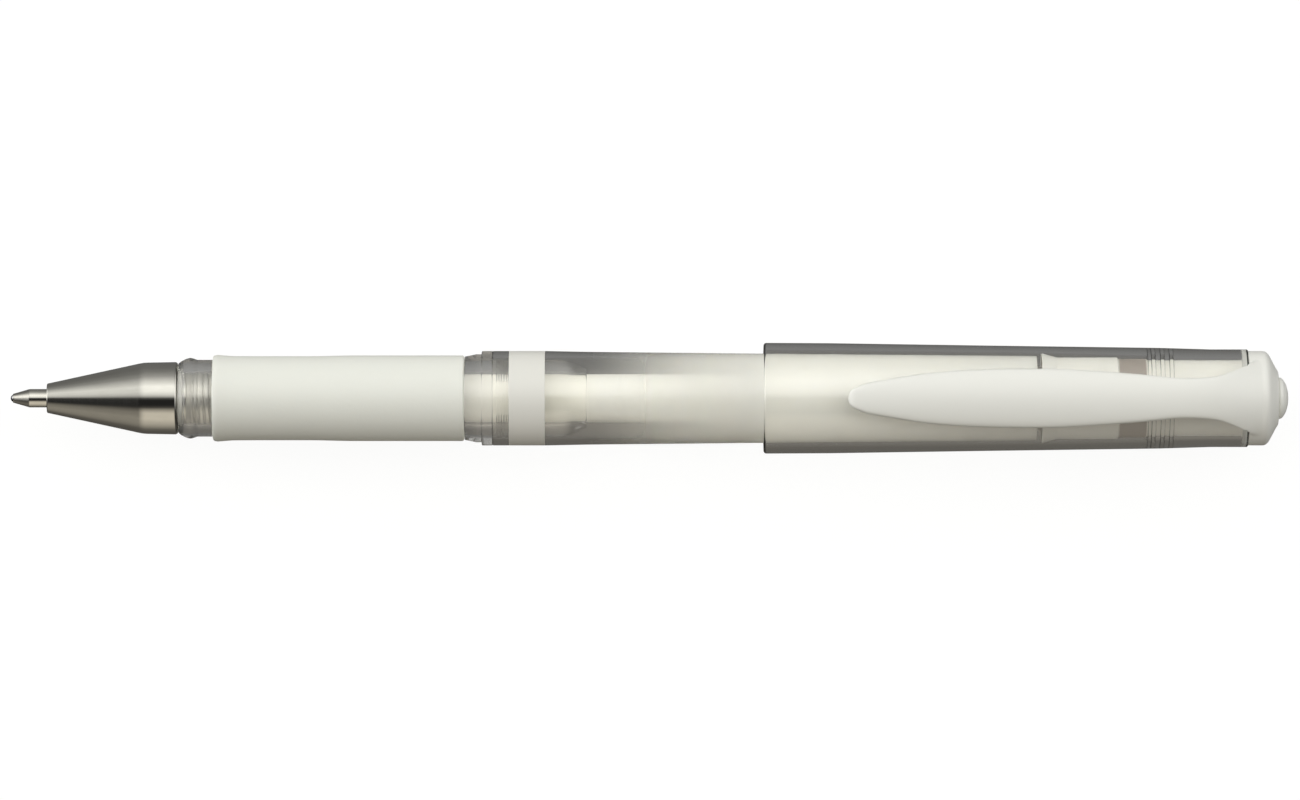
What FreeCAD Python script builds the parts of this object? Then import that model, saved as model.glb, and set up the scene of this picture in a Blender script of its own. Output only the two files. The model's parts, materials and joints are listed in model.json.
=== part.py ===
"""Gel pen with its cap posted on the rear end.

The pen's axis is X: the writing ball touches x = 0 and the cap's crown is at the far end.
The clip is on the +Z side. The origin is the writing point's tip, on the pen's axis.
Lengths are in millimetres.
"""

import FreeCAD, Part
import math
import os
import re

import Sketcher
from FreeCAD import Placement, Rotation, Vector

# Driving dimensions. A *_start is the distance from the writing tip to a piece's front
# end; any other length belongs to the piece that it is listed under. A word that ends in
# _rad is a radius about the pen's axis.
SIZES = {
    # writing ball and metal point
    "ball_rad": 0.5,
    "point_start": 0.3,
    "lip_rad": 0.56,
    "lip_bore_rad": 0.475,
    "crimp_length": 0.12,
    "ball_bore_rad": 0.515,
    "ball_seat_depth": 0.72,
    "ink_hole_rad": 0.3,
    "ink_hole_end": 1.9,
    "point_cone_length": 2.07,
    "point_rad": 1.15,
    "point_bore_rad": 0.75,
    "point_length": 11.7,
    # point holder, check ball, ink tube and its contents
    "holder_start": 6.5,
    "holder_nose_rad": 1.45,
    "holder_nose_length": 1.2,
    "holder_rad": 1.95,
    "holder_socket_depth": 5.5,
    "valve_start": 7.5,
    "valve_rad": 0.65,
    "check_ball_rad": 0.6,
    "check_ball_travel": 0.35,
    "valve_gap": 0.01,
    "holder_channel_rad": 0.45,
    "holder_funnel_rad": 1.5,
    "holder_slim_length": 24.6,
    "holder_funnel_offset": 25.6,
    "holder_flare_length": 26.1,
    "holder_collar_length": 26.9,
    "holder_length": 32.6,
    "ink_tube_rad": 3.0,
    "ink_tube_bore_rad": 2.5,
    "ink_tube_length": 93.6,
    "ink_length": 57.0,
    "follower_length": 5.0,
    # nose cone and its threaded shank
    "nose_start": 4.55,
    "nose_front_rad": 1.825,
    "nose_front_edge": 0.12,
    "nose_cone_length": 12.05,
    "nose_cone_rad": 4.45,
    "nose_length": 16.39,
    "nose_rad": 4.53,
    "nose_edge": 0.4,
    "nose_rear_round": 0.36,
    "nose_bore_rad": 1.25,
    "nose_bore_length": 1.25,
    "nose_cavity_rad": 2.15,
    "nose_cavity_start": 3.15,
    "shank_groove_rad": 2.75,
    "shank_groove_width": 1.0,
    "shank_rad": 3.3,
    "shank_chamfer": 0.4,
    "shank_length": 9.6,
    # seal ring between nose cone and front section
    "seal_rad": 3.25,
    "seal_wire_rad": 0.42,
    # front section: collar, core under the grip, rear flange and spigot
    "section_start": 20.99,
    "collar_front_rad": 4.3,
    "collar_bevel": 0.3,
    "collar_rad": 4.6,
    "rib_offset": 1.45,
    "rib_rad": 5.03,
    "rib_end": 2.17,
    "collar_seat_rad": 4.8,
    "collar_length": 4.26,
    "core_rad": 4.2,
    "flange_offset": 35.76,
    "flange_front_rad": 5.2,
    "flange_slope_end": 37.2,
    "flange_rad": 5.5,
    "ring_offset": 37.9,
    "barrel_rad": 5.9,
    "spigot_offset": 39.26,
    "spigot_thread_rad": 5.05,
    "spigot_thread_end": 45.0,
    "spigot_rad": 4.85,
    "section_length": 51.0,
    "seam_edge": 0.125,
    "section_bore_rad": 3.35,
    "seal_seat_rad": 3.75,
    # grip sleeve
    "grip_gap": 0.05,
    "grip_front_rad": 5.17,
    "grip_front_round": 0.75,
    "grip_lip_rad": 5.42,
    "grip_lip_offset": 0.55,
    "grip_lip_end": 2.4,
    "grip_lip_end_rad": 5.28,
    "grip_waist_rad": 5.25,
    "grip_waist_start": 5.5,
    "grip_waist_end": 12.7,
    "grip_rad": 5.35,
    "grip_taper_end": 17.0,
    "grip_edge": 0.25,
    # barrel, its band and the tail plug
    "band_offset": 2.05,
    "band_width": 4.5,
    "band_depth": 0.25,
    "band_cut_rad": 6.9,
    "barrel_shoulder": 6.75,
    "barrel_waist_offset": 11.75,
    "barrel_waist_rad": 5.8,
    "barrel_taper_offset": 33.8,
    "barrel_taper_rad": 5.575,
    "barrel_length": 67.95,
    "barrel_rear_rad": 5.29,
    "barrel_socket_rad": 5.1,
    "barrel_socket_end": 12.1,
    "barrel_bore_rad": 4.75,
    "barrel_bore_start": 12.7,
    "barrel_bore_end": 57.3,
    "plug_socket_start": 58.3,
    "plug_rad": 4.3,
    "plug_depth": 9.2,
    "tail_rad": 4.0,
    "plug_length": 24.5,
    "plug_bore_rad": 3.1,
    "plug_bore_depth": 22.5,
    "tail_edge": 0.6,
    "vent_rad": 0.6,
    # cap shell
    "cap_start": 94.1,
    "cap_rim_rad": 6.92,
    "cap_rim_edge": 0.34,
    "cap_front_offset": 8.3,
    "cap_front_rad": 6.88,
    "cap_middle_offset": 26.9,
    "cap_middle_rad": 6.6,
    "cap_rear_offset": 49.6,
    "cap_rear_rad": 6.29,
    "cap_neck_offset": 55.9,
    "cap_neck_rad": 6.1,
    "cap_shell_length": 60.25,
    "cap_end_length": 60.5,
    "cap_end_rad": 5.88,
    "cap_mouth_bore_rad": 6.1,
    "cap_bore_offset": 34.9,
    "cap_bore_rad": 5.7,
    "cap_end_bore_rad": 5.3,
    "cap_end_bore_offset": 60.05,
    # inner cap and seal pad
    "inner_start": 128.8,
    "inner_mouth_rad": 5.65,
    "inner_mouth_bore_rad": 5.2,
    "inner_flare_length": 1.9,
    "inner_bore_flare": 3.1,
    "inner_rad": 5.1,
    "inner_bore_rad": 4.65,
    "inner_bore_end": 8.7,
    "inner_grip_start": 11.2,
    "inner_grip_rad": 4.07,
    "inner_grip_end": 20.7,
    "inner_wide_end": 13.1,
    "inner_shank_rad": 4.75,
    "inner_rib_foot_rad": 4.55,
    "inner_rib_rad": 5.4,
    "inner_rib_width": 0.4,
    "inner_rib_pitch": 1.09,
    "inner_rib_count": 3,
    "pad_rad": 2.6,
    "pad_funnel_end": 23.5,
    "pad_depth": 24.8,
    "pad_thickness": 1.0,
    "inner_length": 26.6,
    # crown, button and clip
    "crown_start": 153.85,
    "crown_front_rad": 4.9,
    "crown_core_rad": 3.9,
    "crown_seat_length": 0.85,
    "crown_rad": 5.9,
    "crown_side_length": 2.95,
    "crown_bevel_length": 3.35,
    "crown_bevel_rad": 5.43,
    "crown_length": 4.55,
    "crown_top_rad": 3.38,
    "crown_recess_rad": 4.8,
    "crown_recess_depth": 1.6,
    "cut_overrun": 3,
    "button_stem_rad": 1.5,
    "button_stem_length": 2.75,
    "button_rad": 2.7,
    "button_height": 1.3,
    "clip_start": 104.5,
    "clip_length": 42.3,
    "clip_gap": 0.05,
    "clip_top": 8.5,
    "clip_crest": 8.75,
    "clip_underside": 7.1,
    "clip_bump": 6.95,
    "clip_lift": 7.25,
    "clip_tip_low": 7.5,
    "clip_tip_high": 7.95,
    "clip_blade_top": 8.4,
    "clip_rise_offset": 8.3,
    "clip_rise": 8.65,
    "clip_lift_end": 7.35,
    "clip_bump_start": 3.0,
    "clip_bump_end": 4.4,
    # the clip's root on the crown, from the arm's end
    "root_slope_offset": 4.7,
    "root_slope_top": 8.05,
    "root_fall_offset": 7.3,
    "root_fall_top": 7.2,
    "root_end_offset": 9.3,
    "root_end_top": 6.2,
    "root_length": 10.2,
    "root_length_top": 5.55,
    "root_sink": 3.9,
    "root_front_gap": 0.05,
    "root_saddle_end": 6.4,
    "root_saddle_offset": 6.2,
    "root_saddle": 6.65,
    "root_underside": 6.95,
}

# Half of the clip's width, seen from above, at distances from its free end.
CLIP_PLAN = {
    "clip_nose": (0.0, 0.7),
    "clip_nose_side": (0.5, 1.2),
    "clip_blade": (2.4, 1.9),
    "clip_blade_mid": (6.3, 2.6),
    "clip_wide_start": (13.2, 3.4),
    "clip_widest": (22.9, 3.69),
    "clip_wide_end": (30.4, 3.4),
    "clip_neck_start": (37.9, 2.84),
    "clip_neck": (41.0, 2.5),
    "clip_split": (42.3, 2.5),
    "clip_flare": (45.3, 2.66),
    "clip_flare_mid": (48.8, 3.8),
    "clip_shoulder": (50.5, 4.5),
    "clip_root": (52.5, 5.0),
}

DOC = FreeCAD.newDocument("gel_pen")


def make_sheet():
    """The spreadsheet that every size is read from."""
    sheet = DOC.addObject("Spreadsheet::Sheet", "sizes")
    words = dict(SIZES)
    for word, (offset, half_width) in CLIP_PLAN.items():
        words[word + "_at"] = offset
        words[word + "_half"] = half_width
    for row, (word, value) in enumerate(words.items(), start=1):
        sheet.set(f"A{row}", word)
        sheet.set(f"B{row}", str(value))
        sheet.setAlias(f"B{row}", word)
    DOC.recompute()
    return sheet


SHEET = make_sheet()


def bound(text):
    """An expression of the sheet's words, written for another object of the document."""
    return re.sub(r"\b([a-z]\w*)", r"sizes.\1", str(text))


def value(text):
    """The number that an expression of the sheet's words comes to."""
    return float(SHEET.evalExpression(str(text)))


def new_body(label, start="0"):
    """A body whose own origin lies on the pen's axis, start from the writing tip."""
    body = DOC.addObject("PartDesign::Body", label)
    body.Label = label
    body.Placement = Placement(Vector(value(start), 0, 0), Rotation())
    body.setExpression(".Placement.Base.x", bound(start))
    return body


def origin_plane(body, role):
    return next(o for o in body.Origin.OriginFeatures if getattr(o, "Role", "") == role)


def bind(sketch, constraint, text):
    """Adds a dimension to a sketch and binds it to the sheet."""
    number = sketch.addConstraint(constraint)
    sketch.setExpression(f"Constraints[{number}]", bound(text))


def arc_between(first, last, radius):
    """An arc from first to last that bulges away from the sketch's X axis."""
    chord = last - first
    half = chord.Length / 2
    across = Vector(-chord.y, chord.x, 0).normalize()
    if across.y < 0:
        across = across * -1
    rise = radius - math.sqrt(radius**2 - half**2)
    return Part.Arc(first, (first + last) * 0.5 + across * rise, last)


def outline(body, name, role, corners):
    """A closed sketch on an origin plane. Each corner is two expressions, across and up,
    both positive; a third one is the radius of an arc from it to the next corner."""
    sketch = body.newObject("Sketcher::SketchObject", name)
    sketch.AttachmentSupport = [(origin_plane(body, role), "")]
    sketch.MapMode = "FlatFace"
    spots = [Vector(value(c[0]), value(c[1]), 0) for c in corners]
    ends = []
    for i, corner in enumerate(corners):
        first, last = spots[i], spots[(i + 1) % len(spots)]
        if len(corner) == 3:
            edge = sketch.addGeometry(arc_between(first, last, value(corner[2])), False)
            bind(sketch, Sketcher.Constraint("Radius", edge, value(corner[2])), corner[2])
        else:
            edge = sketch.addGeometry(Part.LineSegment(first, last), False)
        forward = sketch.getPoint(edge, 1).distanceToPoint(first) < 1e-6
        ends.append((edge, 1, 2) if forward else (edge, 2, 1))
    for (edge, _, leaves), (after, arrives, _) in zip(ends, ends[1:] + ends[:1]):
        sketch.addConstraint(Sketcher.Constraint("Coincident", edge, leaves, after, arrives))
    for (edge, start, _), spot, corner in zip(ends, spots, corners):
        if spot.x == 0:
            sketch.addConstraint(Sketcher.Constraint("PointOnObject", edge, start, -2))
        else:
            across = Sketcher.Constraint("DistanceX", -1, 1, edge, start, spot.x)
            bind(sketch, across, corner[0])
        if spot.y == 0:
            sketch.addConstraint(Sketcher.Constraint("PointOnObject", edge, start, -1))
        else:
            up = Sketcher.Constraint("DistanceY", -1, 1, edge, start, spot.y)
            bind(sketch, up, corner[1])
    return sketch


def spin(body, name, corners, kind="Revolution"):
    """A full turn of an outline of (distance along the pen, radius) about the pen's axis."""
    sketch = outline(body, name + "_outline", "XZ_Plane", corners)
    feature = body.newObject("PartDesign::" + kind, name)
    feature.Profile = sketch
    feature.ReferenceAxis = (sketch, ["H_Axis"])
    feature.Angle = 360.0
    DOC.recompute()
    return feature


def round_edges(body, name, size, places, kind="Fillet"):
    """Rounds the circular edges at places, each (distance along the body, radius)."""
    base = body.Tip
    wanted = [(value(along), value(radius)) for along, radius in places]
    start = body.Placement.Base.x
    names = []
    for number, edge in enumerate(base.Shape.Edges, start=1):
        if not isinstance(edge.Curve, Part.Circle):
            continue
        spot = (edge.Curve.Center.x, edge.Curve.Radius)
        for along, radius in wanted:
            if min(abs(spot[0] - along), abs(spot[0] - start - along)) > 1e-4:
                continue
            if abs(spot[1] - radius) < 1e-4:
                names.append(f"Edge{number}")
    if len(names) < len(places):
        raise RuntimeError(f"{name}: {len(names)} of {len(places)} edges found")
    feature = body.newObject("PartDesign::" + kind, name)
    feature.Base = (base, names)
    word = "Radius" if kind == "Fillet" else "Size"
    setattr(feature, word, value(size))
    feature.setExpression(word, bound(size))
    DOC.recompute()
    return feature


def along_axis(label, kind, start):
    """A Part primitive whose own Z axis lies along the pen."""
    piece = DOC.addObject("Part::" + kind, label)
    piece.Label = label
    piece.Placement = Placement(Vector(value(start), 0, 0), Rotation(Vector(0, 1, 0), 90))
    piece.setExpression(".Placement.Base.x", bound(start))
    return piece


def rod(label, start, radius, length):
    piece = along_axis(label, "Cylinder", start)
    piece.setExpression("Radius", bound(radius))
    piece.setExpression("Height", bound(length))
    return piece


def ball(label, centre, radius):
    piece = along_axis(label, "Sphere", centre)
    piece.setExpression("Radius", bound(radius))
    return piece


# The refill


def make_point_socket():
    body = new_body("point_socket", "point_start")
    spin(body, "point_tube", [
        ("0", "lip_rad"),
        ("point_cone_length", "point_rad"),
        ("point_length", "point_rad"),
        ("point_length", "point_bore_rad"),
        ("ink_hole_end + point_bore_rad - ink_hole_rad", "point_bore_rad"),
        ("ink_hole_end", "ink_hole_rad"),
        ("ball_seat_depth", "ink_hole_rad"),
        ("ball_seat_depth", "ball_bore_rad"),
        ("crimp_length", "ball_bore_rad"),
        ("0", "lip_bore_rad"),
    ])
    return body


def make_point_holder():
    body = new_body("point_holder", "holder_start")
    valve_end = "valve_start + 2 * check_ball_rad + check_ball_travel + 2 * valve_gap"
    spin(body, "holder_tube", [
        ("0", "holder_nose_rad"),
        ("holder_nose_length", "holder_rad"),
        ("holder_slim_length", "holder_rad"),
        ("holder_flare_length", "ink_tube_rad"),
        ("holder_collar_length", "ink_tube_rad"),
        ("holder_collar_length", "ink_tube_bore_rad"),
        ("holder_length", "ink_tube_bore_rad"),
        ("holder_length", "holder_funnel_rad"),
        ("holder_funnel_offset", "holder_funnel_rad"),
        ("holder_slim_length", "holder_channel_rad"),
        (valve_end, "holder_channel_rad"),
        (valve_end, "valve_rad"),
        ("valve_start", "valve_rad"),
        ("valve_start", "holder_channel_rad"),
        ("holder_socket_depth", "holder_channel_rad"),
        ("holder_socket_depth", "point_rad"),
        ("0", "point_rad"),
    ])
    return body


def make_ink_tube():
    body = new_body("ink_tube", "holder_start + holder_collar_length")
    spin(body, "tube_wall", [
        ("0", "ink_tube_rad"),
        ("ink_tube_length", "ink_tube_rad"),
        ("ink_tube_length", "ink_tube_bore_rad"),
        ("0", "ink_tube_bore_rad"),
    ])
    return body


def make_refill():
    """The refill's pieces: ball, point, holder, check ball, tube, ink and follower."""
    check_ball_at = "holder_start + valve_start + valve_gap + check_ball_rad"
    ink_at = "holder_start + holder_length"
    return [
        ball("tip_ball", "ball_rad", "ball_rad"),
        make_point_socket(),
        make_point_holder(),
        ball("check_ball", check_ball_at, "check_ball_rad"),
        make_ink_tube(),
        rod("ink_charge", ink_at, "ink_tube_bore_rad", "ink_length"),
        rod("gel_follower", ink_at + " + ink_length", "ink_tube_bore_rad", "follower_length"),
    ]


# The writing end


def make_nose_cone():
    """A metal cone with a threaded shank, drawn at the thread's outer diameter."""
    body = new_body("nose_cone", "nose_start")
    shank_end = "nose_length + shank_length"
    spin(body, "cone", [
        ("0", "nose_front_rad"),
        ("nose_cone_length", "nose_cone_rad"),
        ("nose_length - nose_edge", "nose_rad"),
        ("nose_length", "nose_rad"),
        ("nose_length", "shank_groove_rad"),
        ("nose_length + shank_groove_width", "shank_groove_rad"),
        ("nose_length + shank_groove_width", "shank_rad"),
        (shank_end + " - shank_chamfer", "shank_rad"),
        (shank_end, "shank_rad - shank_chamfer"),
        (shank_end, "nose_cavity_rad"),
        ("nose_cavity_start", "nose_cavity_rad"),
        ("nose_bore_length", "nose_bore_rad"),
        ("0", "nose_bore_rad"),
    ])
    round_edges(body, "front_edge", "nose_front_edge", [("0", "nose_front_rad")])
    round_edges(body, "rear_edge", "nose_rear_round", [("nose_length", "nose_rad")])
    return body


def make_nose_seal():
    seal_at = "nose_start + nose_length + shank_groove_width / 2"
    ring = along_axis("nose_seal", "Torus", seal_at)
    ring.setExpression("Radius1", bound("seal_rad"))
    ring.setExpression("Radius2", bound("seal_wire_rad"))
    return ring


def make_front_section():
    """The clear core that everything at the writing end is built on."""
    body = new_body("front_section", "section_start")
    spin(body, "section_wall", [
        ("0", "collar_front_rad"),
        ("collar_bevel", "collar_rad"),
        ("rib_offset", "rib_rad"),
        ("rib_end", "collar_seat_rad"),
        ("collar_length", "collar_seat_rad"),
        ("collar_length", "core_rad"),
        ("flange_offset", "core_rad"),
        ("flange_offset", "flange_front_rad"),
        ("flange_slope_end", "flange_rad"),
        ("ring_offset", "flange_rad"),
        ("ring_offset", "barrel_rad"),
        ("spigot_offset", "barrel_rad"),
        ("spigot_offset", "spigot_thread_rad"),
        ("spigot_thread_end", "spigot_thread_rad"),
        ("spigot_thread_end + spigot_thread_rad - spigot_rad", "spigot_rad"),
        ("section_length", "spigot_rad"),
        ("section_length", "section_bore_rad"),
        ("shank_groove_width", "section_bore_rad"),
        ("shank_groove_width", "seal_seat_rad"),
        ("0", "seal_seat_rad"),
    ])
    edges = [("ring_offset", "barrel_rad")]
    round_edges(body, "ring_edge", "seam_edge", edges)
    return body


def make_grip_sleeve():
    """A soft sleeve with a raised front lip and a shallow waist for the fingers."""
    body = new_body("grip_sleeve", "section_start + collar_length + grip_gap")
    length = "flange_offset - collar_length - 2 * grip_gap"
    spin(body, "sleeve_wall", [
        ("0", "grip_front_rad", "grip_front_round"),
        ("grip_lip_offset", "grip_lip_rad"),
        ("grip_lip_end", "grip_lip_end_rad"),
        ("grip_waist_start", "grip_waist_rad"),
        ("grip_waist_end", "grip_waist_rad"),
        ("grip_taper_end", "grip_rad"),
        (length, "grip_rad"),
        (length, "core_rad"),
        ("0", "core_rad"),
    ])
    round_edges(body, "rear_lip", "grip_edge", [(length, "grip_rad")])
    return body


# The barrel


BARREL_START = "section_start + spigot_offset"


def make_barrel_tube():
    body = new_body("barrel_tube", BARREL_START)
    spin(body, "barrel_wall", [
        ("0", "barrel_rad"),
        ("barrel_shoulder", "barrel_rad"),
        ("barrel_waist_offset", "barrel_waist_rad"),
        ("barrel_taper_offset", "barrel_taper_rad"),
        ("barrel_length", "barrel_rear_rad"),
        ("barrel_length", "plug_rad"),
        ("plug_socket_start", "plug_rad"),
        ("barrel_bore_end", "barrel_bore_rad"),
        ("barrel_bore_start", "barrel_bore_rad"),
        ("barrel_socket_end", "barrel_socket_rad"),
        ("0", "barrel_socket_rad"),
    ])
    before = body.Shape.Volume
    band_end = "band_offset + band_width"
    spin(body, "band_recess", [
        ("band_offset", "barrel_rad - band_depth"),
        ("band_offset", "band_cut_rad"),
        (band_end, "band_cut_rad"),
        (band_end, "barrel_rad - band_depth"),
    ], kind="Groove")
    if body.Shape.Volume > before - 1:
        raise RuntimeError("the band's recess cut nothing")
    round_edges(body, "barrel_edges", "seam_edge", [
        ("0", "barrel_rad"),
        ("barrel_length", "barrel_rear_rad"),
    ])
    return body


def make_barrel_band():
    body = new_body("barrel_band", BARREL_START + " + band_offset")
    spin(body, "band_wall", [
        ("0", "barrel_rad"),
        ("band_width", "barrel_rad"),
        ("band_width", "barrel_rad - band_depth"),
        ("0", "barrel_rad - band_depth"),
    ])
    return body


def make_tail_plug():
    """The plug that closes the barrel and carries the posted cap."""
    body = new_body("tail_plug", BARREL_START + " + barrel_length - plug_depth")
    spin(body, "plug_wall", [
        ("0", "plug_rad"),
        ("plug_depth", "plug_rad"),
        ("plug_depth", "tail_rad"),
        ("plug_length", "tail_rad"),
        ("plug_length", "vent_rad"),
        ("plug_bore_depth", "vent_rad"),
        ("plug_bore_depth", "plug_bore_rad"),
        ("0", "plug_bore_rad"),
    ])
    round_edges(body, "tail_end", "tail_edge", [("plug_length", "tail_rad")])
    return body


# The cap


def make_cap_shell():
    body = new_body("cap_shell", "cap_start")
    spin(body, "shell_wall", [
        ("0", "cap_rim_rad"),
        ("cap_front_offset", "cap_front_rad"),
        ("cap_middle_offset", "cap_middle_rad"),
        ("cap_rear_offset", "cap_rear_rad"),
        ("cap_neck_offset", "cap_neck_rad"),
        ("cap_shell_length", "cap_neck_rad"),
        ("cap_end_length", "cap_end_rad"),
        ("cap_end_bore_offset", "cap_end_bore_rad"),
        ("cap_bore_offset", "cap_bore_rad"),
        ("0", "cap_mouth_bore_rad"),
    ])
    round_edges(body, "rim", "cap_rim_edge", [
        ("0", "cap_rim_rad"),
        ("0", "cap_mouth_bore_rad"),
    ])
    return body


def make_inner_cap():
    """The liner that grips the tail when posted and seals the writing end when capped."""
    body = new_body("inner_cap", "inner_start")
    spin(body, "liner_wall", [
        ("0", "inner_mouth_rad"),
        ("inner_flare_length", "inner_rad"),
        ("inner_wide_end", "inner_rad"),
        ("inner_wide_end", "inner_shank_rad"),
        ("inner_length", "inner_shank_rad"),
        ("inner_length", "0"),
        ("pad_depth + pad_thickness", "0"),
        ("pad_depth + pad_thickness", "pad_rad"),
        ("pad_funnel_end", "pad_rad"),
        ("inner_grip_end", "inner_grip_rad"),
        ("inner_grip_start", "inner_grip_rad"),
        ("inner_bore_end", "inner_bore_rad"),
        ("inner_bore_flare", "inner_bore_rad"),
        ("0", "inner_mouth_bore_rad"),
    ])
    before = body.Shape.Volume
    rib_at = "inner_wide_end + inner_rib_pitch - inner_rib_width"
    rib = spin(body, "liner_rib", [
        (rib_at, "inner_rib_foot_rad"),
        (rib_at, "inner_rib_rad"),
        (rib_at + " + inner_rib_width", "inner_rib_rad"),
        (rib_at + " + inner_rib_width", "inner_rib_foot_rad"),
    ])
    ribs = body.newObject("PartDesign::LinearPattern", "liner_ribs")
    ribs.Originals = [rib]
    ribs.Direction = (rib.Profile[0], ["H_Axis"])
    ribs.Occurrences = int(value("inner_rib_count"))
    ribs.setExpression("Occurrences", bound("inner_rib_count"))
    ribs.Length = value("inner_rib_pitch * (inner_rib_count - 1)")
    ribs.setExpression("Length", bound("inner_rib_pitch * (inner_rib_count - 1)"))
    body.Tip = ribs
    DOC.recompute()
    ring = math.pi * (value("inner_rib_rad") ** 2 - value("inner_shank_rad") ** 2)
    if body.Shape.Volume < before + value("inner_rib_count - 1") * ring * value("inner_rib_width"):
        raise RuntimeError("the liner's ribs are missing")
    return body


def make_seal_pad():
    return rod("seal_pad", "inner_start + pad_depth", "pad_rad", "pad_thickness")


def trim_to_plan(body, words, offset):
    """Cuts a padded clip piece to the clip's outline seen from above, on both sides. words
    name the corners of the outline, and offset is how far the body starts from its end."""
    before = body.Shape.Volume
    corners = [(f"{word}_at - {offset}", f"{word}_half") for word in words]
    far = "clip_root_half + cut_overrun"
    corners += [(corners[-1][0], far), (corners[0][0], far)]
    sketch = outline(body, body.Name + "_plan", "XY_Plane", corners)
    cut = body.newObject("PartDesign::Pocket", body.Name + "_side")
    cut.Profile = sketch
    cut.Type = "ThroughAll"
    cut.Reversed = True
    DOC.recompute()
    if body.Shape.Volume > before - 1:
        raise RuntimeError(f"{body.Name}: the plan's cut removed nothing")
    other = body.newObject("PartDesign::Mirrored", body.Name + "_other_side")
    other.Originals = [cut]
    other.MirrorPlane = (origin_plane(body, "XZ_Plane"), [""])
    body.Tip = other
    DOC.recompute()


def pad_side(body, name, corners):
    """A block as wide as the clip's root from an outline seen from the side."""
    sketch = outline(body, name + "_outline", "XZ_Plane", corners)
    block = body.newObject("PartDesign::Pad", name)
    block.Profile = sketch
    block.Midplane = True
    block.Length = value("2 * clip_root_half")
    block.setExpression("Length", bound("2 * clip_root_half"))
    DOC.recompute()
    return block


def make_clip_arm():
    """The springy arm, from its free end to the narrow neck where it flexes."""
    body = new_body("clip_arm", "clip_start")
    pad_side(body, "arm_side", [
        ("clip_nose_at", "clip_tip_low"),
        ("clip_nose_at", "clip_tip_high"),
        ("clip_blade_at", "clip_blade_top"),
        ("clip_rise_offset", "clip_rise"),
        ("clip_widest_at", "clip_crest"),
        ("clip_length", "clip_top"),
        ("clip_length", "clip_underside"),
        ("clip_widest_at", "clip_lift_end"),
        ("clip_blade_mid_at", "clip_lift"),
        ("clip_bump_end", "clip_bump"),
        ("clip_bump_start", "clip_bump"),
    ])
    words = [word for word in CLIP_PLAN if CLIP_PLAN[word][0] <= SIZES["clip_length"]]
    trim_to_plan(body, words, "0")
    return body


def make_crown():
    """The cap's end, moulded in one piece with the clip's root."""
    body = new_body("crown", "clip_start + clip_length + clip_gap")
    offset = "clip_length - clip_gap"
    front = "crown_start - clip_start - clip_length - clip_gap"
    seat = front + " + crown_seat_length + root_front_gap"
    pad_side(body, "root_side", [
        ("0", "clip_underside"),
        ("0", "clip_top"),
        ("root_slope_offset", "root_slope_top"),
        ("root_fall_offset", "root_fall_top"),
        ("root_end_offset", "root_end_top"),
        ("root_length", "root_length_top"),
        ("root_length", "root_sink"),
        (seat, "root_sink"),
        (seat, "root_saddle_end"),
        ("root_saddle_offset", "root_saddle"),
        ("root_slope_offset", "root_underside"),
    ])
    words = [word for word in CLIP_PLAN if CLIP_PLAN[word][0] > SIZES["clip_length"]]
    trim_to_plan(body, ["clip_split"] + words, offset)
    side = f"{front} + crown_side_length"
    spin(body, "crown_solid", [
        (front, "crown_core_rad"),
        (front, "crown_front_rad"),
        (front + " + crown_seat_length", "crown_rad"),
        (side, "crown_rad"),
        (front + " + crown_bevel_length", "crown_bevel_rad"),
        (front + " + crown_length", "crown_top_rad"),
        (front + " + crown_length", "button_stem_rad"),
        (front + " + crown_recess_depth", "button_stem_rad"),
    ])
    before = body.Shape.Volume
    spin(body, "liner_recess", [
        (front + " - cut_overrun", "0"),
        (front + " + crown_recess_depth", "0"),
        (front + " + crown_recess_depth", "crown_recess_rad"),
        (front + " - cut_overrun", "crown_recess_rad"),
    ], kind="Groove")
    if body.Shape.Volume > before - 1:
        raise RuntimeError("the crown's recess cut nothing")
    return body


def make_end_plug():
    """A domed button whose stem is pressed into the crown."""
    body = new_body("end_plug", "crown_start + crown_length - button_stem_length")
    dome_rad = "(button_rad ^ 2 + button_height ^ 2) / (2 * button_height)"
    spin(body, "button", [
        ("0", "0"),
        ("0", "button_stem_rad"),
        ("button_stem_length", "button_stem_rad"),
        ("button_stem_length", "button_rad", dome_rad),
        ("button_stem_length + button_height", "0"),
    ])
    return body


def main():
    pieces = make_refill() + [
        make_nose_cone(),
        make_nose_seal(),
        make_front_section(),
        make_grip_sleeve(),
        make_barrel_tube(),
        make_barrel_band(),
        make_tail_plug(),
        make_cap_shell(),
        make_inner_cap(),
        make_seal_pad(),
        make_crown(),
        make_clip_arm(),
        make_end_plug(),
    ]
    DOC.recompute()
    for thing in DOC.Objects:
        if "Invalid" in thing.State or "Error" in thing.State:
            raise RuntimeError(f"{thing.Name} failed: {thing.State}")
    for piece in pieces:
        shape = piece.Shape
        if shape.isNull() or not shape.isValid() or not shape.Solids:
            raise RuntimeError(f"{piece.Label} has no valid solid")
    os.makedirs("parts", exist_ok=True)
    for piece in pieces:
        box = piece.Shape.BoundBox
        piece.Shape.exportStep(f"parts/{piece.Label}.step")
        print(f"{piece.Label:14} x {box.XMin:8.3f} to {box.XMax:8.3f}, "
              f"z {box.ZMin:7.3f} to {box.ZMax:7.3f}, {piece.Shape.Volume:9.2f} mm3")


main()
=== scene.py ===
"""Gel pen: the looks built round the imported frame.

The pen's axis is X. A piece's place comes from its node's box, and its outline is given in
millimetres from the node's front end, as (distance along, radius, corner radius).
"""

import json
import math

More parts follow.
